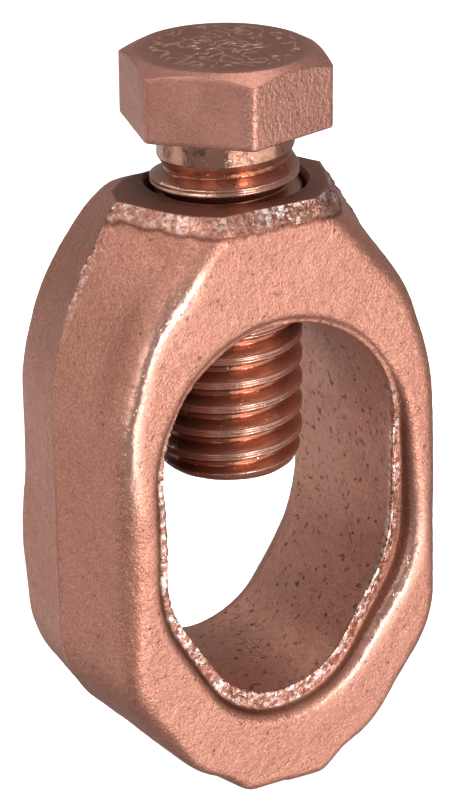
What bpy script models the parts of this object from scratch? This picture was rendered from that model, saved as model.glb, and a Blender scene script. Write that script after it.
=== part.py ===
"""Ground rod clamp: a cast bronze ring that drops over a round rod, and a hexagon head bolt
that screws down through the ring's thick crown and presses the rod into the ring's seat.

Metres, +Z up along the bolt, front of the ring towards -Y. The ring stands on the small flat
at the bottom of its nose, and the origin is the middle of that flat.
"""

import math
from bisect import bisect_right

import bmesh
import bpy
from mathutils import Vector

MM = 0.001

# Ring, in millimetres. It is cast in two mould halves that meet in the plane Y = 0, so it is
# widest there and its walls lean in towards the front and back faces.
FACE_Y = 7.15  # from the parting plane to either face
CENTRE_Z = 19.25  # the outlines are swept round this point of the opening
TOP_Z = 39.4  # the casting is cut flat here and at Z = 0
EDGE_RADIUS = 1.2  # round edge between wall and face
LIP_RADIUS = 1.0  # round edge between face and opening
DRAFT_IN_OPENING = 0.25  # the opening is this much narrower at the parting plane
STATIONS = 96  # steps round the ring

# Half outlines from the top centre to the bottom centre: x, z and the corner's radius.
PARTING_OUTLINE = (
    (0.0, 43.0, 0.0),
    (5.6, 43.0, 2.4),
    (7.35, 39.0, 6.0),
    (12.45, 30.6, 18.0),
    (12.45, 8.9, 8.0),
    (3.6, -0.1, 2.0),
    (1.6, -0.5, 1.0),
    (0.0, -0.5, 0.0),
)
FACE_OUTLINE = (
    (0.0, 39.15, 0.0),
    (3.2, 39.15, 5.0),
    (9.4, 33.2, 9.0),
    (11.1, 27.6, 12.0),
    (11.1, 9.6, 8.5),
    (6.3, 3.6, 6.0),
    (4.2, 2.3, 2.5),
    (2.7, 0.75, 1.5),
    (0.0, 0.75, 0.0),
)
OPENING_OUTLINE = (
    (0.0, 32.1, 0.0),
    (8.4, 32.1, 8.39),
    (8.4, 14.8, 8.4),
    (3.21, 6.5, 5.78),
    (0.0, 6.5, 0.0),
)

# Bolt, in millimetres: 3/8-16 thread, head underside at HEAD_Z in this pose.
PITCH = 25.4 / 16
HEAD_Z = 43.25
HEAD_HEIGHT = 4.4
HEAD_CORNERS = 13.5  # across corners
HEAD_TURN = 13.2  # degrees, where one corner of the hexagon points
HEAD_FLAT_RADIUS = 5.35  # of the flat top inside the chamfer
CHAMFER_ANGLE = 31.0
NECK_RADIUS, NECK_LENGTH = 4.3, 2.0
CREST_RADIUS, ROOT_RADIUS, CREST_WIDTH = 4.7, 3.85, 0.5
SHANK_LENGTH = 22.3  # from the head to the tip
POINT_LENGTH, POINT_RADIUS = 0.8, 3.85
THREAD_TURN = -30.8  # degrees, where the groove is at THREAD_Z
THREAD_Z = 28.69
STEPS = 24  # round one turn of thread

# Tapped hole, in millimetres: the same thread with running clearance.
TAPPED_CREST_RADIUS, TAPPED_ROOT_RADIUS, TAPPED_CREST_WIDTH = 4.87, 4.05, 0.48
MOUTH_RADIUS, MOUTH_DEPTH = 5.35, 1.5
GAP = 0.3


def clear_scene():
    for obj in list(bpy.data.objects):
        bpy.data.objects.remove(obj, do_unlink=True)


def collection(name):
    made = bpy.data.collections.new(name)
    bpy.context.scene.collection.children.link(made)
    return made


def material(name, colour, roughness):
    made = bpy.data.materials.new(name)
    made.use_nodes = True
    shader = made.node_tree.nodes["Principled BSDF"]
    shader.inputs["Base Color"].default_value = (*colour, 1.0)
    shader.inputs["Roughness"].default_value = roughness
    shader.inputs["Metallic"].default_value = 1.0
    return made


def object_from(bm, name, where):
    """An object from a bmesh in millimetres, with its faces pointing out."""
    bmesh.ops.scale(bm, vec=(MM, MM, MM), verts=bm.verts)
    bmesh.ops.recalc_face_normals(bm, faces=bm.faces)
    mesh = bpy.data.meshes.new(name)
    bm.to_mesh(mesh)
    bm.free()
    made = bpy.data.objects.new(name, mesh)
    where.objects.link(made)
    return made


def cutter(made):
    made.hide_render = True
    made.display_type = "WIRE"
    return made


def boolean(target, other, operation):
    modifier = target.modifiers.new(other.name, "BOOLEAN")
    modifier.operation = operation
    modifier.object = other
    return modifier


def fillet(before, corner, after, radius, steps=10):
    """Points of the arc of this radius that rounds the corner."""
    first, second = (before - corner).normalized(), (after - corner).normalized()
    half = first.angle(second) / 2
    centre = corner + (first + second).normalized() * (radius / math.sin(half))
    start = corner + first * (radius / math.tan(half)) - centre
    end = corner + second * (radius / math.tan(half)) - centre
    arc = [start.lerp(end, i / steps).normalized() * radius for i in range(steps + 1)]
    return [centre + step for step in arc]


def rounded(corners):
    points = [Vector(corner[:2]) for corner in corners]
    line = [points[0]]
    for i in range(1, len(points) - 1):
        line += fillet(points[i - 1], points[i], points[i + 1], corners[i][2])
    return [*line, points[-1]]


class Outline:
    """A half outline, read by the angle from straight up about the opening's centre."""

    def __init__(self, corners, inset=0.0):
        self.points = [p - Vector((0, CENTRE_Z)) for p in rounded(corners)]
        self.angles = [math.atan2(p.x, p.y) for p in self.points]
        self.inset = inset

    def at(self, angle):
        """The outline's x and z on the ray at this angle, which runs from -pi to pi."""
        along = min(abs(angle), math.pi - 1e-6)
        i = min(bisect_right(self.angles, along), len(self.points) - 1)
        start, edge = self.points[i - 1], self.points[i] - self.points[i - 1]
        ray = Vector((math.sin(along), math.cos(along)))
        reach = start.cross(edge) / ray.cross(edge) - self.inset
        return Vector((math.copysign(ray.x * reach, angle), CENTRE_Z + ray.y * reach))


def rounded_edge(before, corner, after, radius, steps=3):
    """Points of a round edge between two straight runs in space."""
    first, second = (before - corner).normalized(), (after - corner).normalized()
    reach = radius / math.tan(first.angle(second) / 2)
    start, end = corner + first * reach, corner + second * reach
    points = []
    for i in range(steps + 1):
        t = i / steps
        points.append(start * (1 - t) ** 2 + corner * (2 * t * (1 - t)) + end * t**2)
    return points


def ring_section(angle, parting, face, opening, wall):
    """The front half of the ring's section at one angle, from its outer to its inner wall."""
    p, f, o, w = (line.at(angle) for line in (parting, face, opening, wall))
    outer = Vector((p.x, 0, p.y))
    edge = Vector((f.x, -FACE_Y, f.y))
    lip = Vector((o.x, -FACE_Y, o.y))
    inner = Vector((w.x, 0, w.y))
    return [
        outer,
        *rounded_edge(outer, edge, lip, EDGE_RADIUS),
        *rounded_edge(edge, lip, inner, LIP_RADIUS),
        inner,
    ]


def ring(where):
    """The ring as cast: sections swept round the opening and mirrored in the parting plane."""
    parting = Outline(PARTING_OUTLINE)
    face = Outline(FACE_OUTLINE)
    opening = Outline(OPENING_OUTLINE)
    wall = Outline(OPENING_OUTLINE, DRAFT_IN_OPENING)
    bm = bmesh.new()
    rows = []
    for i in range(STATIONS):
        angle = 2 * math.pi * i / STATIONS - math.pi
        section = ring_section(angle, parting, face, opening, wall)
        rows.append([bm.verts.new(point) for point in section])
    for i, row in enumerate(rows):
        after = rows[(i + 1) % STATIONS]
        for j in range(len(row) - 1):
            bm.faces.new((row[j], row[j + 1], after[j + 1], after[j]))
    made = object_from(bm, "clamp_body", where)
    mirror = made.modifiers.new("Mirror", "MIRROR")
    mirror.use_axis = (False, True, False)
    mirror.merge_threshold = 1e-6
    return made


def thread(name, where, low, high, root, crest, crest_width):
    """A threaded rod from low to high, right-handed, with ends that follow the helix."""
    flank = (crest - root) * math.tan(math.radians(30))
    groove = (PITCH - crest_width - 2 * flank) / 2
    profile = (
        (0.0, root),
        (groove, root),
        (groove + flank, crest),
        (groove + flank + crest_width, crest),
        (PITCH - groove, root),
    )
    start = THREAD_Z - PITCH * math.ceil((THREAD_Z - low) / PITCH)
    turns = math.ceil((high - start) / PITCH)
    first = math.radians(THREAD_TURN)
    bm = bmesh.new()
    columns = []
    for i in range(STEPS):
        angle = first + 2 * math.pi * i / STEPS
        column = []
        for turn in range(turns + 1):
            for rise, radius in profile[:-1] if groove < 1e-6 else profile:
                z = start + PITCH * (turn + i / STEPS) + rise
                column.append(bm.verts.new((radius * math.cos(angle), radius * math.sin(angle), z)))
        columns.append(column)
    per_turn = len(profile)
    for i in range(STEPS - 1):
        for a, b in zip(range(len(column) - 1), range(1, len(column)), strict=True):
            bm.faces.new((columns[i][a], columns[i + 1][a], columns[i + 1][b], columns[i][b]))
    last, again = columns[-1], columns[0]
    for j in range(len(column) - 1 - per_turn):
        shifted = j + per_turn
        bm.faces.new((last[j], again[shifted], again[shifted + 1], last[j + 1]))
    count = len(column)
    bottom = [c[0] for c in columns] + [again[j] for j in range(per_turn, 0, -1)]
    top = [c[-1] for c in columns]
    top += [last[j] for j in range(count - 2, count - 2 - per_turn, -1)]
    for loop, z in ((bottom, start), (top, start + PITCH * (turns + 1))):
        hub = bm.verts.new((0, 0, z))
        for a, b in zip(loop, [*loop[1:], loop[0]], strict=True):
            bm.faces.new((hub, a, b))
    return object_from(bm, name, where)


def turned(name, where, profile, steps=48):
    """A solid of revolution about the bolt's axis, from radius and height pairs going down."""
    bm = bmesh.new()
    line = [bm.verts.new((radius, 0, z)) for radius, z in profile]
    for a, b in zip(line[:-1], line[1:], strict=True):
        bm.edges.new((a, b))
    bmesh.ops.scale(bm, vec=(MM, MM, MM), verts=bm.verts)
    mesh = bpy.data.meshes.new(name)
    bm.to_mesh(mesh)
    bm.free()
    made = bpy.data.objects.new(name, mesh)
    where.objects.link(made)
    screw = made.modifiers.new("Screw", "SCREW")
    screw.steps = screw.render_steps = steps
    screw.use_merge_vertices = True
    screw.merge_threshold = 1e-6
    return made


def block(name, where, centre, size):
    """A box that cuts the casting flat."""
    bm = bmesh.new()
    bmesh.ops.create_cube(bm, size=1.0)
    bmesh.ops.scale(bm, vec=size, verts=bm.verts)
    bmesh.ops.translate(bm, vec=centre, verts=bm.verts)
    return object_from(bm, name, where)


def clamp_body(parts, cutters):
    body = ring(parts)
    flat_top = block("flat_top", cutters, (0, 0, TOP_Z + 10), (40, 40, 20))
    flat_nose = block("flat_nose", cutters, (0, 0, -10), (40, 40, 20))
    tapped = thread(
        "tapped_hole", cutters, TOP_Z - 12.0, TOP_Z + 2.0, TAPPED_ROOT_RADIUS,
        TAPPED_CREST_RADIUS, TAPPED_CREST_WIDTH,
    )
    mouth = turned(
        "hole_mouth", cutters,
        (
            (0.0, TOP_Z + 1.0),
            (MOUTH_RADIUS + 0.3, TOP_Z + 1.0),
            (MOUTH_RADIUS, TOP_Z - 0.1),
            (TAPPED_ROOT_RADIUS - 0.2, TOP_Z - MOUTH_DEPTH),
            (0.0, TOP_Z - MOUTH_DEPTH),
        ),
    )
    for tool in (flat_top, flat_nose, tapped, mouth):
        boolean(body, cutter(tool), "DIFFERENCE")
    return body


def hex_head(parts):
    """The bolt's head before its corners are chamfered: a hexagonal prism."""
    bm = bmesh.new()
    corners = []
    for i in range(6):
        angle = math.radians(HEAD_TURN + 60 * i)
        corners.append((HEAD_CORNERS / 2 * math.cos(angle), HEAD_CORNERS / 2 * math.sin(angle)))
    low = [bm.verts.new((x, y, HEAD_Z)) for x, y in corners]
    high = [bm.verts.new((x, y, HEAD_Z + HEAD_HEIGHT)) for x, y in corners]
    bm.faces.new(low)
    bm.faces.new(high)
    for i in range(6):
        bm.faces.new((low[i - 1], low[i], high[i], high[i - 1]))
    return object_from(bm, "hex_bolt", parts)


def hex_bolt(parts, cutters):
    bolt = hex_head(parts)
    top = HEAD_Z + HEAD_HEIGHT
    fall = 3.0 * math.tan(math.radians(CHAMFER_ANGLE))
    chamfer = turned(
        "head_chamfer", cutters,
        (
            (0.0, top),
            (HEAD_FLAT_RADIUS, top),
            (HEAD_FLAT_RADIUS + 3.0, top - fall),
            (HEAD_FLAT_RADIUS + 3.0, HEAD_Z - 1.0),
            (0.0, HEAD_Z - 1.0),
        ),
    )
    boolean(bolt, cutter(chamfer), "INTERSECT")
    neck_end = HEAD_Z - NECK_LENGTH
    taper = NECK_RADIUS - ROOT_RADIUS + 0.1
    neck = turned(
        "neck", cutters,
        (
            (0.0, HEAD_Z + 1.0),
            (NECK_RADIUS, HEAD_Z + 1.0),
            (NECK_RADIUS, neck_end),
            (NECK_RADIUS - taper, neck_end - taper),
            (NECK_RADIUS - taper, neck_end - taper - 1.0),
            (0.0, neck_end - taper - 1.0),
        ),
    )
    tip = HEAD_Z - SHANK_LENGTH + POINT_LENGTH + GAP
    screw = thread(
        "bolt_thread", cutters, tip - 3.0, HEAD_Z + 1.0, ROOT_RADIUS, CREST_RADIUS, CREST_WIDTH
    )
    start = neck_end - taper + 0.05
    envelope = turned(
        "thread_ends", cutters,
        (
            (0.0, start),
            (ROOT_RADIUS - 0.05, start),
            (CREST_RADIUS + 0.1, start - 0.55),
            (CREST_RADIUS + 0.1, tip + 0.9),
            (ROOT_RADIUS + 0.2, tip),
            (0.0, tip),
        ),
    )
    boolean(screw, cutter(envelope), "INTERSECT")
    boolean(bolt, cutter(neck), "UNION")
    boolean(bolt, cutter(screw), "UNION")
    return bolt


def bolt_point(parts):
    """The bolt's chamfered point, which meets the rod."""
    tip = HEAD_Z - SHANK_LENGTH
    return turned(
        "bolt_point", parts,
        (
            (0.0, tip + POINT_LENGTH),
            (POINT_RADIUS, tip + POINT_LENGTH),
            (POINT_RADIUS, tip + 0.3),
            (POINT_RADIUS - 0.3, tip),
            (0.0, tip),
        ),
    )


def build():
    clear_scene()
    parts, cutters = collection("ground_clamp"), collection("cutters")
    body = clamp_body(parts, cutters)
    bolt = hex_bolt(parts, cutters)
    point = bolt_point(parts)
    bronze = material("cast_bronze", (0.62, 0.30, 0.20), 0.45)
    copper = material("plated_copper", (0.50, 0.20, 0.12), 0.30)
    for made, finish in ((body, bronze), (bolt, copper), (point, copper)):
        made.data.materials.append(finish)


build()
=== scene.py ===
"""Looks of the ground rod clamp: a sand-cast copper alloy ring and a copper-coloured bolt.

The shapes are worked out in millimetres, and each mesh is scaled to metres at its end. The
ring is swept round its opening, cut flat, remeshed so that its edges soften as a casting's do,
given its surface grain, and then drilled and tapped. The bolt is one skin of rings, from the
middle of its head's top down to the middle of its tip. Attributes on the points carry each
mark of casting, trimming and wear to the materials, and also where shade and highlights are
painted into the colour.
"""

import math

import bmesh
import bpy
import numpy as np
from mathutils import Matrix, Vector, noise

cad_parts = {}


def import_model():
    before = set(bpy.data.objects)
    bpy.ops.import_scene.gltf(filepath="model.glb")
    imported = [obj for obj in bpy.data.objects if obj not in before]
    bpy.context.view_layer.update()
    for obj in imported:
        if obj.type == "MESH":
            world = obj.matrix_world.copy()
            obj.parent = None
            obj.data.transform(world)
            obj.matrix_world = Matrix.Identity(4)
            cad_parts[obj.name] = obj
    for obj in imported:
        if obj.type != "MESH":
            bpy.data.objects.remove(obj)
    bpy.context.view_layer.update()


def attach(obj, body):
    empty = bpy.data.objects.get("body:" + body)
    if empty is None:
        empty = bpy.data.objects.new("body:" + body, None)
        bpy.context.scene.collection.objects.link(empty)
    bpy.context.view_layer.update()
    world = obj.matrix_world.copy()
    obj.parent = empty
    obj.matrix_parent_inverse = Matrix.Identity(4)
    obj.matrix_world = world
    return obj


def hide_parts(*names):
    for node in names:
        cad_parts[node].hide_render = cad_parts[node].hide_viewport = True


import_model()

MM = 0.001

# Ring, in millimetres. Its parting line and its opening are as in the CAD.
FACE_Y = 6.8
SHIFT_Y = -0.36  # the casting sits this far off the bolt's axis
SKEW, SKEW_Z = -0.034, 20.0  # and leans a little above this height
BACK_FALL = 0.9  # the crown falls away behind the bolt
BACK_RIDGE = 22.0  # and its ridge reaches no further than this there
RIM_Y, RIM_Z = 7.16, 38.45  # foot of the trimmed rim in front of the bolt
CENTRE_Z = 19.25  # every reach is measured from the opening's centre
TOP_Z = 39.4
SEAM_Y = 0.1
WALL_REACH = 1.5  # past the opening's edge; the outer wall lies further out than this
# Each corner of an outline's right half, from the top down: x, z and the fillet's radius.
PARTING_OUTLINE = (
    (0.0, 43.0, 0.0),
    (5.6, 43.0, 2.4),
    (7.35, 39.0, 6.0),
    (12.45, 30.6, 18.0),
    (12.45, 8.9, 8.0),
    (3.6, -0.1, 2.0),
    (1.6, -0.5, 1.0),
    (0.0, -0.5, 0.0),
)
FACE_OUTLINE = (
    (0.0, 39.15, 0.0),
    (3.2, 39.15, 5.0),
    (9.35, 33.1, 9.0),
    (11.25, 27.4, 12.0),
    (11.3, 9.3, 6.5),
    (6.8, 3.3, 6.0),
    (4.3, 2.1, 2.5),
    (2.8, 0.7, 1.5),
    (0.0, 0.7, 0.0),
)
OPENING_OUTLINE = (
    (0.0, 32.1, 0.0),
    (8.4, 32.1, 8.39),
    (8.4, 14.8, 8.4),
    (3.21, 6.5, 5.78),
    (0.0, 6.5, 0.0),
)
DRAFT = 0.25  # the opening is this much narrower half way through
ARC_RADIUS = 16.0  # roughly the reach of the outer wall, to turn angles into lengths
STATIONS = 640
VOXEL = 0.12

# Bolt, in millimetres. Its thread has the CAD's pitch, radii and height.
PITCH = 25.4 / 16
HEAD_Z = 43.07
HEAD_HEIGHT = 4.58
HEAD_FLATS = 5.85
HEAD_TURN = math.radians(14.0)
HEAD_CENTRE = (-0.12, -0.05)  # the chamfer was turned a little off the head's centre
HEAD_FLAT_RADIUS = 5.35
ROUGH_FACE = -76.8  # degrees from +X to the head's one rough side
HEAD_CHAMFER = math.radians(28)
COLLAR_RADIUS, COLLAR_FILLET = 4.62, 0.32  # where the head's underside turns into the neck
NECK_RADIUS = 4.22
CREST_RADIUS, ROOT_RADIUS = 4.7, 3.85
CREST_HALF_WIDTH = 0.17
TIP_Z = 20.86
TIP_RADIUS, TIP_SLOPE, TIP_EDGE_RADIUS = 3.95, 1.15, 3.88
TIP_DISH = 0.28
THREAD_TURN = math.radians(-30.8)
THREAD_Z = 28.69  # a groove is at this height where the angle is THREAD_TURN
TOP_LAG, TOP_LAG_Z = 0.3, 37.0  # above this height the thread lags behind its helix
LAST_GROOVE, RUN_OUT_SLOPE = 8, 0.62  # turns of groove above THREAD_Z, up to the plain neck
AROUND = 384

# Tapped hole, in millimetres.
MOUTH_RADIUS, MOUTH_SLOPE = 5.15, 0.7
PLAIN_Z, PLAIN_SLOPE = 34.6, 4.0  # the hole has no thread above this height
CLEARANCE, SIDE_CLEARANCE, PLAIN_CLEARANCE = 0.17, 0.06, 0.20


# ---------------------------------------------------------------- outlines


def fillet(before, corner, after, radius, steps=16):
    """Points of the arc that rounds the corner off."""
    first, second = (before - corner).normalized(), (after - corner).normalized()
    half = first.angle(second) / 2
    centre = corner + (first + second).normalized() * (radius / math.sin(half))
    start = corner + first * (radius / math.tan(half)) - centre
    end = corner + second * (radius / math.tan(half)) - centre
    arc = [start.lerp(end, i / steps).normalized() * radius for i in range(steps + 1)]
    return [centre + step for step in arc]


def reach_of(corners, angles):
    """How far the outline is from the opening's centre at each angle from straight up."""
    points = [Vector(corner[:2]) for corner in corners]
    line = [points[0]]
    for i in range(1, len(points) - 1):
        line += fillet(points[i - 1], points[i], points[i + 1], corners[i][2])
    line.append(points[-1])
    xz = np.array(line) - (0, CENTRE_Z)
    at = np.arctan2(xz[:, 0], xz[:, 1])
    along = np.minimum(np.abs(angles), math.pi - 1e-6)
    i = np.clip(np.searchsorted(at, along, side="right"), 1, len(at) - 1)
    start, edge = xz[i - 1], xz[i] - xz[i - 1]
    ray = np.stack([np.sin(along), np.cos(along)], axis=1)
    across = start[:, 0] * edge[:, 1] - start[:, 1] * edge[:, 0]
    return across / (ray[:, 0] * edge[:, 1] - ray[:, 1] * edge[:, 0])


def wobble(values, scale, seed):
    """Smooth noise between about -1 and 1 along one coordinate."""
    return np.array([noise.noise(Vector((v / scale, seed, 0.37))) for v in values])


def bump(x, middle, width):
    """1 at the middle, and almost 0 at two widths from it."""
    return np.exp(-(((x - middle) / width) ** 2))


def near(angle, middle, width):
    """A bump whose middle and width are in degrees."""
    return bump(angle, math.radians(middle), math.radians(width))


def rise(x, start, length):
    """0 up to start, 1 from start + length on."""
    return np.clip((x - start) / length, 0, 1)


def smooth(share):
    return share * share * (3 - 2 * share)


# ---------------------------------------------------------------- meshes


def mesh_object(name, points, faces):
    mesh = bpy.data.meshes.new(name)
    mesh.from_pydata(points, [], faces)
    mesh.update()
    made = bpy.data.objects.new(name, mesh)
    bpy.context.scene.collection.objects.link(made)
    return made


def grid_faces(rows, columns, closed_rows=False):
    """Quads of a grid whose columns close on themselves."""
    i = np.arange(rows if closed_rows else rows - 1)[:, None]
    j = np.arange(columns)[None, :]
    after, beside = (i + 1) % rows, (j + 1) % columns
    quads = np.stack(
        [i * columns + j, i * columns + beside, after * columns + beside, after * columns + j],
        axis=-1,
    )
    return quads.reshape(-1, 4).tolist()


def point_out(made):
    bm = bmesh.new()
    bm.from_mesh(made.data)
    bmesh.ops.recalc_face_normals(bm, faces=bm.faces)
    bm.to_mesh(made.data)
    bm.free()


def apply_modifiers(made):
    graph = bpy.context.evaluated_depsgraph_get()
    mesh = bpy.data.meshes.new_from_object(made.evaluated_get(graph))
    made.modifiers.clear()
    made.data = mesh


def cut(made, other):
    modifier = made.modifiers.new("cut", "BOOLEAN")
    modifier.operation = "DIFFERENCE"
    modifier.solver = "MANIFOLD"
    modifier.object = other
    apply_modifiers(made)
    bpy.data.objects.remove(other, do_unlink=True)


def box(name, low, high):
    spans = list(zip(low, high, strict=True))
    corners = [(x, y, z) for z in spans[2] for y in spans[1] for x in spans[0]]
    faces = [(0, 2, 3, 1), (4, 5, 7, 6), (0, 1, 5, 4), (2, 6, 7, 3), (0, 4, 6, 2), (1, 3, 7, 5)]
    return mesh_object(name, corners, faces)


def coordinates(made):
    points = np.empty(len(made.data.vertices) * 3)
    made.data.vertices.foreach_get("co", points)
    return points.reshape(-1, 3)


def normals(made):
    found = np.empty(len(made.data.vertices) * 3)
    made.data.vertex_normals.foreach_get("vector", found)
    return found.reshape(-1, 3)


def set_coordinates(made, points):
    made.data.vertices.foreach_set("co", points.reshape(-1))
    made.data.update()


def field(points, scale, seed):
    """Noise at each point, between about -1 and 1."""
    offset = Vector((seed, seed * 1.7, seed * 2.3))
    return np.array([noise.noise(Vector(p) / scale + offset) for p in points.tolist()])


def attribute(made, name, values):
    layer = made.data.attributes.new(name, "FLOAT", "POINT")
    layer.data.foreach_set("value", np.ascontiguousarray(values, np.float32))


def finish_mesh(made, smooth_angle=None):
    set_coordinates(made, coordinates(made) * MM)
    made.data.shade_smooth()
    if smooth_angle is not None:
        made.data.set_sharp_from_angle(angle=math.radians(smooth_angle))


# ---------------------------------------------------------------- ring


def blend_points(start, corner, end, steps):
    """Points of a quadratic curve; each argument is a (reach, y) pair of arrays."""
    points = []
    for t in np.linspace(0, 1, steps):
        weights = ((1 - t) ** 2, 2 * t * (1 - t), t**2)
        points.append(
            tuple(
                sum(w * part[axis] for w, part in zip(weights, (start, corner, end), strict=True))
                for axis in (0, 1)
            )
        )
    return points


def straight(start, end, steps):
    shares = np.linspace(0, 1, steps + 1)[1:-1]
    return [tuple(start[k] * (1 - t) + end[k] * t for k in (0, 1)) for t in shares]


def burr_share(angle):
    """Where the opening's front edge carries a burr: all round but for its top."""
    return rise(np.abs(angle), math.radians(42), math.radians(25))


def groove_share(angle):
    """Where the groove outside the burr is at its widest, at the lower right."""
    return near(angle, 118, 38)


def shelf_width(angle):
    """Width of the shelf that the burr stands on."""
    return 0.12 + burr_share(angle) * (0.22 + 0.16 * near(np.abs(angle), 165, 38))


def front_section(angle, parting, face, opening):
    """(reach, y) of each row of points, from the parting line over the front to the opening."""
    arc = angle * ARC_RADIUS
    zero = np.zeros_like(angle)
    front = zero - FACE_Y
    edge = 1.2 + 0.12 * wobble(arc, 6.0, 1.3)
    edge = edge - 0.6 * rise(-np.abs(angle), math.radians(-24), math.radians(12))
    edge = edge - 0.7 * rise(np.abs(angle), math.radians(148), math.radians(14))
    edge = edge + 0.55 * near(angle, -102, 36)
    slow = edge + 0.1 + 0.7 * near(np.abs(angle), 42, 20)
    wall_end = (face + (parting - face) * slow / FACE_Y, front + slow)
    face_start = (face - edge, front)

    # A burr stands on a shelf round the opening, with a groove and a rolled shoulder outside it.
    shelf, hollow = shelf_width(angle), groove_share(angle)
    step = 0.25 + 0.50 * burr_share(angle) + 0.35 * hollow
    rolled = 0.55 + 0.35 * near(angle, 122, 32)
    foot = opening + shelf + 0.15 + 0.30 * hollow
    lip_start = (foot + 0.45 * step + rolled, front)
    shoulder = (foot + 0.45 * step, front - 0.02)
    valley = (foot, front + step)
    ridge = 0.22 + 0.10 * wobble(arc, 1.1, 3.1) + 0.10 * wobble(arc, 0.45, 7.7)
    ridge = ridge * (0.35 + 0.65 * near(angle, 125, 50))
    bead = 0.62 * (near(angle, 180, 42) + near(angle, -180, 42))
    crest = (opening - 0.03 - 0.3 * ridge - bead, front + step - 0.6 * ridge)
    inner = (opening - 0.02, front + 1.5)
    middle = (opening - DRAFT, zero)

    section = [(parting, zero)]
    section += straight((parting, zero), wall_end, 26)
    section += blend_points(wall_end, (face, front), face_start, 12)
    section += straight(face_start, lip_start, 16)
    section += blend_points(lip_start, shoulder, valley, 12)
    section += blend_points(valley, (foot - 0.12, front + step + 0.05), crest, 9)[1:]
    section += blend_points(crest, (opening - 0.10, front + step + 0.25), inner, 7)[1:]
    section += straight(inner, middle, 20)
    section.append(middle)
    return section


def back_section(angle, parting, face, opening):
    """The same of the back, whose y is still on the front's side. It has a plain round lip."""
    zero = np.zeros_like(angle)
    front = zero - FACE_Y
    fall = rise(-np.abs(angle), math.radians(-15), math.radians(9))
    behind = face - BACK_FALL * smooth(fall) + 0.5 * near(angle, -20, 8)
    behind = behind + 0.60 * near(angle, -106, 19) + 0.25 * near(angle, -152, 16)
    edge = 1.15 + 0.15 * wobble(angle * ARC_RADIUS, 6.0, 1.3)
    capped = np.minimum(parting, BACK_RIDGE)
    ridge = np.where(np.abs(angle) < math.radians(40), capped, parting)
    wall_end = (behind + (ridge - behind) * edge / FACE_Y, front + edge)
    crown = rise(-np.abs(angle), math.radians(-75), math.radians(40))
    lip = 1.2 + 0.5 * (1 - crown) + 1.2 * near(angle, 145, 22)

    section = [(parting, zero)]
    section += straight((ridge, zero), wall_end, 26)
    section += blend_points(wall_end, (behind, front), (behind - edge, front), 12)
    section += straight((behind - edge, front), (opening + lip, front), 16)
    section += blend_points((opening + lip, front), (opening, front), (opening, front + lip), 12)
    section += straight((opening, front + lip), (opening - DRAFT, zero), 20)
    return section


def ring_blank():
    """The ring as it leaves the mould, before it is cut flat at its top and nose."""
    angle = np.linspace(-math.pi, math.pi, STATIONS, endpoint=False)
    parting = reach_of(PARTING_OUTLINE, angle)
    face = reach_of(FACE_OUTLINE, angle) + 0.22 * near(angle, 150, 35)
    opening = reach_of(OPENING_OUTLINE, angle) - 0.2 * near(angle, -92, 40)
    front = front_section(angle, parting, face, opening)
    back = back_section(angle, parting, face, opening)[:0:-1]
    reach = np.array([row[0] for row in front + back])
    y = np.array([row[1] for row in front] + [-row[1] for row in back])

    # The parting line stands out, most of all at the crown's corners.
    seam = 0.10 + 0.07 * wobble(angle * ARC_RADIUS, 0.9, 5.5)
    seam = seam * (0.35 + 2.6 * near(np.abs(angle), 27, 11))
    reach = reach + seam[None, :] * bump(y, SEAM_Y, 0.2) * (reach > opening + WALL_REACH)
    z = CENTRE_Z + reach * np.cos(angle)
    x = reach * np.sin(angle) + SKEW * np.maximum(z - SKEW_Z, 0)
    points = np.stack([x, y + SHIFT_Y, z], axis=-1).reshape(-1, 3)
    made = mesh_object("ring_casting", points.tolist(), grid_faces(len(reach), STATIONS, True))
    point_out(made)
    return made


def thread_reach(angle, z, root, crest, clearance=0.0):
    """Reach of the thread's surface: grooves with round floors and crests with soft edges."""
    turn = (z - THREAD_Z) / PITCH - (angle - THREAD_TURN) / (2 * math.pi)
    phase = np.abs((turn + 0.5) % 1.0 - 0.5) * PITCH
    flank = (crest - root) * math.tan(math.radians(30))
    share = rise(phase, PITCH / 2 - CREST_HALF_WIDTH - clearance - flank, flank)
    return root + (crest - root) * (0.35 * smooth(share) + 0.65 * share)


def tapped_cutter():
    """The tapped hole with its countersunk mouth, as a closed skin."""
    z = np.arange(TOP_Z - 13.0, TOP_Z + 1.2, 0.1)
    angle = np.linspace(0, 2 * math.pi, 144, endpoint=False)
    grid_angle, grid_z = np.meshgrid(angle, z)
    root, crest = ROOT_RADIUS + CLEARANCE, CREST_RADIUS + CLEARANCE
    reach = thread_reach(grid_angle, grid_z, root, crest, SIDE_CLEARANCE)
    mouth = MOUTH_RADIUS - (TOP_Z - grid_z) * MOUTH_SLOPE
    plain = CREST_RADIUS + PLAIN_CLEARANCE
    plain = plain - PLAIN_SLOPE * np.clip(PLAIN_Z - grid_z, 0, None)
    mouth = np.where(grid_z > TOP_Z, MOUTH_RADIUS, np.maximum(mouth, plain))
    mouth += 0.05 * wobble(angle * 5, 0.8, 2.2)[None, :]
    reach = np.maximum(reach, mouth)
    points = np.stack([reach * np.cos(grid_angle), reach * np.sin(grid_angle), grid_z], axis=-1)
    points = points.reshape(-1, 3).tolist()
    columns = len(angle)
    faces = grid_faces(len(z), columns)
    for z_end, first, flip in ((z[0], 0, True), (z[-1], (len(z) - 1) * columns, False)):
        points.append((0.0, 0.0, z_end))
        hub = len(points) - 1
        for j in range(columns):
            a, b = first + j, first + (j + 1) % columns
            faces.append((hub, b, a) if flip else (hub, a, b))
    made = mesh_object("tapped_hole", points, faces)
    point_out(made)
    return made


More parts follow.
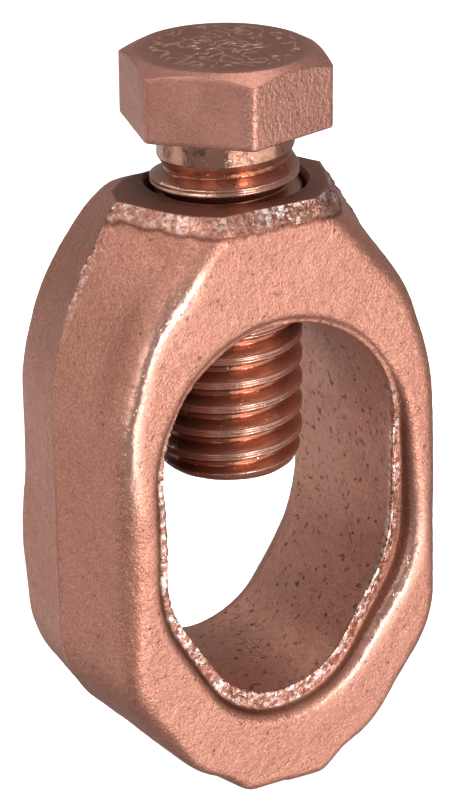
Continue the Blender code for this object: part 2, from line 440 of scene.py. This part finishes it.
def ring_marks(points, out):
    """How strongly each mark shows at each point, from 0 to 1; out holds the normals."""
    x, y, z = points.T
    x = x - SKEW * np.maximum(z - SKEW_Z, 0)
    y = y - SHIFT_Y
    around = np.arctan2(x, z - CENTRE_Z)
    reach = np.hypot(x, z - CENTRE_Z)
    opening = reach_of(OPENING_OUTLINE, around)
    outer = reach > opening + WALL_REACH
    off_bolt = np.hypot(x, y) > 5.4
    ragged = 0.25 * field(points, 0.8, 41.0)

    # The machined flats at the top and at the nose, smoother than the casting and darkened in
    # colour as painted shade.
    top = rise(z, TOP_Z - 0.30, 0.2) * rise(out[:, 2], 0.8, 0.15)
    nose = rise(-z, -0.25, 0.2) * rise(-out[:, 2], 0.8, 0.15)
    rim = rise(z + ragged, TOP_Z - 1.0, 0.3) * off_bolt * (y < 0.5) * (1 - top)
    rim = rim * (0.55 + 0.45 * rise(x, -2.0, 2.5))
    # A thin line of painted shade under the trimmed rim.
    painted_shade_and_seam = bump(z + ragged, TOP_Z - 1.08, 0.14) * off_bolt * (y < 0.3)

    # The opening's front lip, from its burr out to the rolled shoulder.
    depth = y + FACE_Y
    shelf, hollow = shelf_width(around), groove_share(around)
    lip = rise(-reach, -(opening + shelf + 0.12), 0.15) * rise(depth, 0.25, 0.2)
    lip = lip * rise(-depth, -(1.30 + 0.3 * hollow), 0.3) * burr_share(around)
    # Painted shade in the groove outside the burr.
    groove = bump(reach, opening + shelf + 0.26 + 0.3 * hollow, 0.22 + 0.32 * hollow)
    groove = groove * rise(depth, 0.12, 0.15) * (depth < 2) * burr_share(around)
    # Painted highlight along the rolled shoulder at the lower right.
    rolled = bump(reach, opening + shelf + 0.95 + 0.3 * hollow, 0.6) * (depth < 0.5)
    rolled = rolled * near(around, 130, 32)

    # The front face's outer edge, rubbed smooth on the left of the crown, with a highlight
    # painted there.
    face = reach_of(FACE_OUTLINE, around)
    edge = bump(reach, face - 0.75, 0.65) * rise(-y, 5.9, 0.4) * (1 - rim)
    edge = edge * rise(-around, math.radians(14), math.radians(8))
    edge = edge * rise(around, math.radians(-80), math.radians(24))

    # The outer wall, with the parting line round its middle.
    seam = bump(y, SEAM_Y, 0.10) * near(around, -95, 30) * outer
    flash = bump(y, SEAM_Y, 0.45) * near(np.abs(around), 27, 11) * outer * (1 - top)
    shade = bump(y, -4.9, 1.1) * near(around, -34, 20) * outer * (1 - rim)
    return {
        "burr": np.clip(np.maximum(np.maximum(rim, lip), flash), 0, 1),
        "machined_and_painted_shade": np.maximum(top, nose),
        "inside": 1.0 * ((reach < opening + 0.1) & (np.abs(y) < 5.9)),
        "painted_shade_and_seam": np.maximum(painted_shade_and_seam, np.maximum(groove, 0.6 * seam)),
        "shade": shade,
        "polish_and_painted_highlight": np.maximum(edge, rolled),
    }


def ring():
    made = ring_blank()
    cut(made, box("top", (-20, -20, TOP_Z), (20, 20, 60)))
    cut(made, box("nose", (-20, -20, -20), (20, 20, 0)))
    remesh = made.modifiers.new("remesh", "REMESH")
    remesh.mode = "VOXEL"
    remesh.voxel_size = VOXEL
    soften = made.modifiers.new("smooth", "SMOOTH")
    soften.factor = 0.5
    soften.iterations = 3
    apply_modifiers(made)

    # The corner between the front face and the top is trimmed flat, at 45 degrees.
    points = coordinates(made)
    over = np.clip((points[:, 2] - points[:, 1] - RIM_Z - RIM_Y) / 2, 0, None)
    over = over * (points[:, 1] < -3)
    points[:, 1] += over
    points[:, 2] -= over
    set_coordinates(made, points)
    out = normals(made)
    marks = ring_marks(points, out)

    grain = 0.05 * field(points, 5.0, 4.0) + 0.022 * field(points, 1.6, 9.0)
    grain = grain + 0.016 * field(points, 0.42, 2.0)
    grit = 0.085 * field(points, 0.5, 17.0) + 0.05 * field(points, 0.24, 23.0)
    patchy = np.clip(field(points, 1.3, 52.0) * 2.5 + 0.6, 0.15, 1)
    height = grain * (1 - 0.9 * marks["machined_and_painted_shade"]) + marks["burr"] * patchy * grit
    points = points + out * height[:, None]
    points[:, 2] = np.clip(points[:, 2], 0.0, TOP_Z)
    set_coordinates(made, points)
    for name, values in marks.items():
        attribute(made, name, values)

    cut(made, tapped_cutter())
    x, y, z = coordinates(made).T
    off_axis = np.hypot(x, y)
    # Painted shade down the tapped hole.
    painted_bore_shade = (off_axis < MOUTH_RADIUS + 0.08) * rise(-z, -(TOP_Z - 0.03), 0.1)
    attribute(made, "painted_bore_shade", painted_bore_shade * (z > TOP_Z - 12.5))
    # Painted shade on the top round the mouth of the tapped hole, heaviest on the left.
    painted_mouth_shade = bump(off_axis, MOUTH_RADIUS, 0.75) * rise(z, TOP_Z - 0.5, 0.3)
    attribute(made, "painted_mouth_shade", painted_mouth_shade * (0.55 + 0.45 * np.clip(-x / 3.0, -1, 1)))
    finish_mesh(made, 50)
    return made


# ---------------------------------------------------------------- bolt


def hexagon(angle):
    """Reach of the head's outline, with soft corners."""
    power = 64
    total = np.zeros_like(angle)
    for i in range(6):
        normal = HEAD_TURN + math.radians(30 + 60 * i)
        total += np.maximum(np.cos(angle - normal) / HEAD_FLATS, 0) ** power
    return total ** (-1 / power)


def level(value):
    """The same value all round."""
    return np.full(AROUND, value)


def head_rings(angle):
    """(reach, z) arrays of each ring, from the middle of the head's top to the neck."""
    top = HEAD_Z + HEAD_HEIGHT
    flats = hexagon(angle)
    slope = math.tan(HEAD_CHAMFER)
    flat = HEAD_FLAT_RADIUS + HEAD_CENTRE[0] * np.cos(angle) + HEAD_CENTRE[1] * np.sin(angle)
    rings = [(flat * share, level(top)) for share in np.linspace(0.02, 1, 64)]
    for share in np.linspace(0, 1, 12)[1:]:
        reach = flat + (flats - 0.04 - flat) * share
        rings.append((reach, top - (reach - flat) * slope))
    side_top = top - (flats - 0.04 - flat) * slope
    rings.append((flats - 0.01, side_top - 0.03))
    low = HEAD_Z + 0.12
    for share in np.linspace(0, 1, 20):
        rings.append((flats, (side_top - 0.07) * (1 - share) + low * share))
    rings.append((flats - 0.04, level(HEAD_Z + 0.04)))
    rings.append((flats - 0.13, level(HEAD_Z)))
    for share in np.linspace(0, 1, 6)[1:]:
        reach = (flats - 0.13) * (1 - share) + COLLAR_RADIUS * share
        rings.append((reach, level(HEAD_Z)))
    for share in np.linspace(0, 1, 6)[1:]:
        turn = share * math.pi / 2
        reach = COLLAR_RADIUS - COLLAR_FILLET * math.sin(turn)
        rings.append((level(reach), level(HEAD_Z - COLLAR_FILLET * (1 - math.cos(turn)))))
    return rings


def shank_rings(angle):
    """(reach, z) arrays of each ring, from the neck down the thread to the tip's middle."""
    z = np.append(np.arange(HEAD_Z - 0.36, TIP_Z - 1e-6, -0.05), TIP_Z)
    grid_angle, grid_z = np.meshgrid(angle, z)
    lagged = grid_z + TOP_LAG * smooth(rise(grid_z, TOP_LAG_Z, 2.0))
    reach = thread_reach(grid_angle, lagged, ROOT_RADIUS, CREST_RADIUS)

    # A fine seam runs along each crest, where the rolled thread's two flanks meet.
    seam = math.radians(35)
    away = (grid_angle - THREAD_TURN - seam) % (2 * math.pi) + seam - 2 * math.pi
    turn = (lagged - THREAD_Z) / PITCH - away / (2 * math.pi)
    reach -= 0.13 * bump(((turn % 1.0) - 0.5) * PITCH, 0.0, 0.085)

    # The last groove runs out into the neck.
    past = (turn - LAST_GROOVE) * PITCH - 0.16
    neck = np.clip(ROOT_RADIUS + 0.05 + past * RUN_OUT_SLOPE, ROOT_RADIUS, NECK_RADIUS)
    reach = np.where(past > 0, neck, reach)
    fade = rise(away, math.radians(-35), math.radians(70))
    fade = fade * rise(turn, LAST_GROOVE - 0.95, 0.15)
    reach += (NECK_RADIUS - reach) * smooth(fade)

    chamfer = TIP_RADIUS + (grid_z - TIP_Z) * TIP_SLOPE
    chamfer += 0.04 * wobble(angle * 4, 1.0, 8.1)[None, :]
    rounded = TIP_EDGE_RADIUS + np.sqrt(np.clip((grid_z - TIP_Z) * 0.5, 0, None))
    reach = np.minimum(np.minimum(reach, chamfer), rounded)
    rings = list(zip(reach, grid_z, strict=True))
    for share in np.linspace(1, 0.03, 22)[1:]:
        dip = TIP_DISH * (1 - min(1, (share / 0.8)) ** 2)
        rings.append((reach[-1] * share, level(TIP_Z + dip)))
    return rings


def worn_relief(points):
    """Irregular raised strokes and dents on the head's top."""
    reach = np.hypot(points[:, 0], points[:, 1])
    stroke = np.clip(1 - np.abs(field(points, 0.75, 31.0)) / 0.17, 0, 1)
    patch = np.clip((field(points, 1.5, 6.0) + 0.45) / 0.25, 0, 1)
    height = 0.07 * stroke * patch
    height += 0.04 * np.clip(field(points, 0.45, 18.0), 0, 1)
    height -= 0.05 * np.clip(field(points, 0.55, 12.0) - 0.25, 0, 1)
    return height * rise(-reach, -4.9, 0.5)


def bolt():
    angle = np.linspace(0, 2 * math.pi, AROUND, endpoint=False)
    rings = head_rings(angle) + shank_rings(angle)
    reach = np.array([ring[0] for ring in rings])
    z = np.array([ring[1] for ring in rings])
    points = np.stack([reach * np.cos(angle), reach * np.sin(angle), z], axis=-1).reshape(-1, 3)
    faces = [tuple(reversed(quad)) for quad in grid_faces(len(rings), AROUND)]
    top = HEAD_Z + HEAD_HEIGHT
    points = np.vstack([points, [(0, 0, top)], [(0, 0, TIP_Z + TIP_DISH)]])
    high, low = len(points) - 2, len(points) - 1
    last = (len(rings) - 1) * AROUND
    for j in range(AROUND):
        after = (j + 1) % AROUND
        faces.append((high, j, after))
        faces.append((low, last + after, last + j))
    made = mesh_object("head_bolt", points.tolist(), faces)
    point_out(made)

    points, out = coordinates(made), normals(made)
    x, y, z = points.T
    reach = np.hypot(x, y)
    flat_top = rise(z, top - 0.03, 0.02) * rise(-reach, -5.0, 0.2)
    side = (z > HEAD_Z + 0.01) * (np.abs(out[:, 2]) < 0.3)
    toward = np.cos(np.arctan2(y, x) - math.radians(ROUGH_FACE))
    rough_side = side * rise(toward, 0.8, 0.08)
    relief = worn_relief(points)
    height = 0.012 * field(points, 1.4, 5.0) * (1 - flat_top) + flat_top * relief
    height += rough_side * 0.028 * field(points, 0.22, 21.0)
    height += (z < HEAD_Z - 0.4) * 0.006 * field(points, 0.35, 13.0)
    set_coordinates(made, points + out * height[:, None])
    thread = rise(-z, -(HEAD_Z - 0.1), 0.3)
    # Painted shade on the thread's left side, below the mouth.
    painted_left_shade = near(np.arctan2(x, -y), -90, 48)
    attribute(made, "thread", thread)
    # Painted shade, darker towards the thread's groove floors.
    attribute(made, "depth", rise(-reach, -CREST_RADIUS, CREST_RADIUS - ROOT_RADIUS) * thread)
    attribute(made, "neck", rise(z, 40.9, 0.2) * thread)
    attribute(made, "painted_left_shade", painted_left_shade * rise(-z, -34.0, 1.5))
    attribute(made, "rough_side", rough_side)
    # Painted shade on the head's top.
    attribute(made, "head_top_painted_shade", (z > top - 0.6) * rise(-reach, -5.7, 1.3))
    attribute(made, "raised", flat_top * np.clip(relief / 0.06 - 0.25, 0, 1))
    finish_mesh(made)
    return made


# ---------------------------------------------------------------- materials


class Nodes:
    """A short way to write a shader's nodes."""

    def __init__(self, name):
        self.material = bpy.data.materials.new(name)
        self.material.use_nodes = True
        self.tree = self.material.node_tree
        self.shader = self.tree.nodes["Principled BSDF"]

    def link(self, value, socket):
        if isinstance(value, bpy.types.NodeSocket):
            self.tree.links.new(value, socket)
        else:
            socket.default_value = value

    def noise(self, scale, detail=3.0, roughness=0.55):
        """Noise whose features come about this often to a millimetre."""
        node = self.tree.nodes.new("ShaderNodeTexNoise")
        node.inputs["Scale"].default_value = scale / MM
        node.inputs["Detail"].default_value = detail
        node.inputs["Roughness"].default_value = roughness
        place = self.tree.nodes.new("ShaderNodeTexCoord").outputs["Object"]
        self.tree.links.new(place, node.inputs["Vector"])
        return node.outputs["Fac"]

    def value(self, name):
        node = self.tree.nodes.new("ShaderNodeAttribute")
        node.attribute_name = name
        return node.outputs["Fac"]

    def math(self, operation, a, b=0.0, clamp=False):
        node = self.tree.nodes.new("ShaderNodeMath")
        node.operation = operation
        node.use_clamp = clamp
        self.link(a, node.inputs[0])
        self.link(b, node.inputs[1])
        return node.outputs[0]

    def spread(self, value, low, high, to_low=0.0, to_high=1.0):
        node = self.tree.nodes.new("ShaderNodeMapRange")
        node.clamp = True
        self.link(value, node.inputs["Value"])
        node.inputs["From Min"].default_value = low
        node.inputs["From Max"].default_value = high
        node.inputs["To Min"].default_value = to_low
        node.inputs["To Max"].default_value = to_high
        return node.outputs["Result"]

    def mix(self, share, a, b):
        node = self.tree.nodes.new("ShaderNodeMix")
        node.data_type = "RGBA"
        self.link(share, node.inputs["Factor"])
        for value, socket in ((a, node.inputs[6]), (b, node.inputs[7])):
            if isinstance(value, tuple):
                value = (*value, 1.0)
            self.link(value, socket)
        return node.outputs[2]

    def tint(self, colour, share, amount, other):
        """The colour, turned towards another one by the share times the amount."""
        return self.mix(self.math("MULTIPLY", share, amount), colour, other)

    def lower(self, value, share, amount):
        return self.math("SUBTRACT", value, self.math("MULTIPLY", share, amount), clamp=True)

    def bump(self, height, strength, distance, normal=None):
        node = self.tree.nodes.new("ShaderNodeBump")
        node.inputs["Strength"].default_value = strength
        node.inputs["Distance"].default_value = distance * MM
        self.tree.links.new(height, node.inputs["Height"])
        if normal is not None:
            self.tree.links.new(normal, node.inputs["Normal"])
        return node.outputs["Normal"]

    def set(self, **sockets):
        for name, value in sockets.items():
            socket = self.shader.inputs[name.replace("_", " ")]
            if isinstance(value, tuple) and len(value) == 3:
                value = (*value, 1.0)
            self.link(value, socket)


def cast_copper():
    n = Nodes("cast_copper")
    broad = n.noise(0.22, 4.0)
    patch = n.noise(0.9, 5.0, 0.65)
    fine = n.noise(6.0, 3.0, 0.75)
    speck = n.noise(3.0, 2.0, 0.5)
    burr = n.value("burr")
    machined_and_painted_shade = n.value("machined_and_painted_shade")
    inside = n.value("inside")
    polish_and_painted_highlight = n.value("polish_and_painted_highlight")
    plain = n.lower(1.0, polish_and_painted_highlight, 0.93)

    colour = n.mix(n.spread(broad, 0.35, 0.65), (0.56, 0.225, 0.150), (0.63, 0.270, 0.188))
    colour = n.mix(n.spread(patch, 0.40, 0.75, 0.0, 0.45), colour, (0.46, 0.175, 0.115))
    sand = n.mix(n.spread(fine, 0.36, 0.64), (0.36, 0.130, 0.085), (0.84, 0.46, 0.36))
    colour = n.mix(0.48, colour, sand)
    stain = n.math("MULTIPLY", inside, n.spread(n.noise(0.9, 5.0, 0.7), 0.50, 0.70), clamp=True)
    colour = n.tint(colour, stain, 0.5, (0.20, 0.075, 0.050))
    colour = n.tint(colour, inside, 0.40, (0.86, 0.46, 0.34))
    colour = n.tint(colour, n.value("shade"), 0.42, (0.22, 0.095, 0.060))
    # Painted shade: the machined flats at the top and the nose are darker.
    colour = n.tint(colour, machined_and_painted_shade, 0.85, (0.27, 0.12, 0.085))
    # Painted shade round the mouth, made patchy by noise.
    uneven = n.spread(n.noise(1.1, 4.0), 0.35, 0.60, 0.3, 1.0)
    painted_mouth_shade = n.math("MULTIPLY", n.value("painted_mouth_shade"), uneven)
    colour = n.tint(colour, painted_mouth_shade, 0.85, (0.085, 0.038, 0.026))
    # Painted shade inside the tapped hole.
    colour = n.tint(colour, n.value("painted_bore_shade"), 0.8, (0.10, 0.045, 0.03))
    # Painted shade under the rim and in the groove round the opening, with the dark parting line
    # on the left wall.
    colour = n.tint(colour, n.value("painted_shade_and_seam"), 0.9, (0.17, 0.055, 0.030))
    holes = n.math("MULTIPLY", inside, n.spread(n.noise(1.9, 3.0), 0.60, 0.67, 0.0, 0.75))
    dark = n.math("ADD", n.spread(speck, 0.67, 0.76, 0.0, 0.7), holes, clamp=True)
    colour = n.mix(dark, colour, (0.13, 0.04, 0.025))
    gritty = n.math("MULTIPLY", burr, n.spread(n.noise(3.5, 2.0), 0.55, 0.40), clamp=True)
    colour = n.tint(colour, gritty, 0.8, (0.18, 0.06, 0.04))
    # Painted glints: pale specks scattered over the burrs.
    painted_glints = n.math("MULTIPLY", burr, n.spread(n.noise(2.6, 3.0), 0.48, 0.55), clamp=True)
    painted_glints = n.math("MULTIPLY", painted_glints, n.spread(n.noise(0.7, 2.0), 0.38, 0.52), clamp=True)
    colour = n.mix(painted_glints, colour, (0.96, 0.77, 0.70))
    # Painted highlight: the edge on the left of the crown and the rolled shoulder at the lower
    # right turn pale.
    colour = n.tint(colour, polish_and_painted_highlight, 0.5, (0.90, 0.58, 0.48))

    roughness = n.spread(n.noise(1.3, 4.0), 0.3, 0.7, 0.38, 0.50)
    roughness = n.lower(n.lower(roughness, burr, 0.22), polish_and_painted_highlight, 0.25)
    normal = n.bump(n.math("MULTIPLY", n.noise(2.2, 3.0, 0.55), plain), 0.6, 0.055)
    normal = n.bump(n.math("MULTIPLY", n.noise(3.2, 3.0, 0.6), inside), 0.9, 0.09, normal)
    normal = n.bump(n.math("MULTIPLY", n.noise(6.5, 2.0, 0.6), plain), 1.0, 0.045, normal)
    pits = n.spread(speck, 0.62, 0.74, 1.0, 0.0)
    normal = n.bump(pits, 0.5, 0.05, normal)
    n.set(Base_Color=colour, Metallic=0.85, Roughness=roughness, Normal=normal)
    return n.material


def bolt_copper():
    n = Nodes("bolt_copper")
    thread = n.value("thread")
    rough_side = n.value("rough_side")
    neck = n.value("neck")
    broad = n.noise(0.35, 4.0)
    fine = n.noise(6.0, 3.0, 0.7)

    head = n.mix(n.spread(broad, 0.35, 0.65), (0.52, 0.225, 0.170), (0.60, 0.285, 0.215))
    sand = n.mix(n.spread(fine, 0.36, 0.64), (0.38, 0.150, 0.105), (0.80, 0.44, 0.35))
    head = n.mix(n.spread(rough_side, 0.0, 1.0, 0.25, 0.45), head, sand)
    # Painted shade: the head's top is darker.
    head = n.tint(head, n.value("head_top_painted_shade"), 0.68, (0.31, 0.140, 0.100))
    head = n.mix(n.value("raised"), head, (0.80, 0.47, 0.37))
    screw = n.mix(n.spread(broad, 0.3, 0.7), (0.62, 0.33, 0.25), (0.70, 0.40, 0.31))
    # Painted shade in the thread's grooves.
    screw = n.tint(screw, n.value("depth"), 0.9, (0.38, 0.125, 0.062))
    screw = n.tint(screw, neck, 0.85, (0.50, 0.26, 0.19))
    spot = n.math("MULTIPLY", neck, n.spread(n.noise(1.3, 4.0, 0.7), 0.52, 0.62))
    screw = n.tint(screw, spot, 0.7, (0.16, 0.06, 0.04))
    # Painted shade on the thread's left side.
    screw = n.tint(screw, n.value("painted_left_shade"), 0.8, (0.11, 0.045, 0.032))
    colour = n.mix(thread, head, screw)
    specks = n.spread(n.noise(2.6, 2.0), 0.69, 0.75, 0.0, 0.6)
    colour = n.mix(specks, colour, (0.14, 0.05, 0.035))
    glints = n.math("MULTIPLY", thread, n.spread(n.noise(3.4, 1.0), 0.72, 0.76))
    colour = n.mix(glints, colour, (0.95, 0.80, 0.72))

    roughness = n.spread(n.noise(1.2, 4.0), 0.3, 0.7, 0.38, 0.50)
    roughness = n.lower(n.lower(roughness, thread, 0.24), neck, 0.07)
    normal = n.bump(n.noise(6.0, 3.0, 0.6), 0.8, 0.022)
    grit = n.math("MULTIPLY", n.noise(4.2, 2.0), rough_side)
    normal = n.bump(grit, 1.0, 0.08, normal)
    ripple = n.math("MULTIPLY", n.noise(1.6, 4.0), thread)
    normal = n.bump(ripple, 0.6, 0.03, normal)
    n.set(Base_Color=colour, Metallic=0.85, Roughness=roughness, Normal=normal)
    return n.material


def stage_material():
    n = Nodes("pale_floor")
    shade = n.mix(n.spread(n.noise(0.02, 2.0), 0.3, 0.7), (0.90, 0.90, 0.90), (0.93, 0.93, 0.93))
    n.set(Base_Color=shade, Roughness=0.9, Specular_IOR_Level=0.1)
    n.set(Emission_Color=(1.0, 1.0, 1.0), Emission_Strength=0.9)
    return n.material


# ---------------------------------------------------------------- stage, light and camera


def sweep():
    """A floor that curves up into a backdrop, wide enough for any view."""
    steps, radius, side = 48, 0.9, 0.55
    points, faces = [(0.0, 0.0, 0.0)], []
    profile = [(radius * i / 8, 0.0) for i in range(1, 9)]
    profile += [
        (radius + side * math.sin(t), side * (1 - math.cos(t)))
        for t in np.linspace(0, math.pi / 2, 10)[1:]
    ]
    profile.append((radius + side, 2.2))
    for reach, z in profile:
        for i in range(steps):
            turn = 2 * math.pi * i / steps
            points.append((reach * math.cos(turn), reach * math.sin(turn), z))
    for i in range(steps):
        faces.append((0, 1 + i, 1 + (i + 1) % steps))
    for row in range(len(profile) - 1):
        for i in range(steps):
            a, b = 1 + row * steps + i, 1 + row * steps + (i + 1) % steps
            faces.append((a, a + steps, b + steps, b))
    made = mesh_object("floor", points, faces)
    made.data.shade_smooth()
    made.data.materials.append(stage_material())
    return made


CAMERA_DIRECTION, CAMERA_ROLL = (-30.79, 22.78), -0.46  # in degrees
CAMERA_DISTANCE = 0.2
LIGHT_DISTANCE = 0.8
# Name, azimuth, elevation, power and size. The pale table's bounce comes from below the clamp,
# so its cards have negative elevations and the floor lets them through.
LIGHTS = (
    ("table_front", -9, -25, 1.05, (0.34, 0.35)),
    ("table_front_right", 18, -25, 0.72, (0.34, 0.35)),
    ("table_right", 46, -25, 0.58, (0.38, 0.35)),
    ("table_left", -120, -25, 0.35, (0.35, 0.35)),
    ("table_behind", -165, -23, 0.36, (0.70, 0.35)),
    ("front_left", -60, 8, 0.80, (0.35, 0.35)),
    ("front_right", 30, 8, 0.22, (0.35, 0.35)),
    ("front_high", 10, 42, 0.75, (0.35, 0.35)),
    ("edge", 2, 4, 3.2, (0.18, 0.30)),
    ("left", -105, 8, 0.60, (0.35, 0.35)),
    ("left_high", -90, 50, 1.35, (0.30, 0.30)),
    ("back_left", -150, 42, 0.55, (0.35, 0.35)),
    ("top", 90, 75, 1.6, (0.35, 0.35)),
)


def direction(azimuth, elevation):
    """From the clamp, in degrees; azimuth 0 is in front, on the -Y side."""
    a, e = math.radians(azimuth), math.radians(elevation)
    return Vector((math.sin(a) * math.cos(e), -math.cos(a) * math.cos(e), math.sin(e)))


def area_light(name, azimuth, elevation, power, size):
    """A soft box that faces the clamp."""
    away = direction(azimuth, elevation)
    data = bpy.data.lights.new(name, "AREA")
    data.shape = "RECTANGLE"
    data.size, data.size_y = size
    data.energy = power
    made = bpy.data.objects.new(name, data)
    made.location = Vector((0, 0, 0.024)) + away * LIGHT_DISTANCE
    made.rotation_euler = away.to_track_quat("Z", "Y").to_euler()
    bpy.context.scene.collection.objects.link(made)


def camera():
    data = bpy.data.cameras.new("camera")
    data.sensor_fit = "VERTICAL"
    data.sensor_height = 36.0
    data.lens = 141.6386
    data.shift_x, data.shift_y = -0.000817, 0.002191
    data.clip_start, data.clip_end = 0.01, 20
    made = bpy.data.objects.new("camera", data)
    away = direction(*CAMERA_DIRECTION)
    roll = Matrix.Rotation(math.radians(CAMERA_ROLL), 3, "Z")
    turn = away.to_track_quat("Z", "Y").to_matrix() @ roll
    place = Matrix.Translation(Vector((0, 0, 0.02425)) + away * CAMERA_DISTANCE)
    made.matrix_world = place @ turn.to_4x4()
    bpy.context.scene.collection.objects.link(made)
    bpy.context.scene.camera = made


def world():
    made = bpy.data.worlds.new("studio")
    made.use_nodes = True
    made.node_tree.nodes["Background"].inputs["Color"].default_value = (1.0, 0.98, 0.96, 1.0)
    made.node_tree.nodes["Background"].inputs["Strength"].default_value = 0.24
    bpy.context.scene.world = made


# ---------------------------------------------------------------- scene

casting = ring()
casting.data.materials.clear()
casting.data.materials.append(cast_copper())
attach(casting, "clamp")
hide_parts("clamp_body")

screw = bolt()
screw.data.materials.append(bolt_copper())
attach(screw, "bolt")
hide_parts("hex_bolt", "bolt_point")

floor = sweep()
floor.visible_glossy = False
floor.visible_diffuse = False
floor.visible_shadow = False

for light in LIGHTS:
    area_light(*light)
camera()
world()
view = bpy.context.scene.view_settings
view.view_transform = "Standard"
view.look = "None"
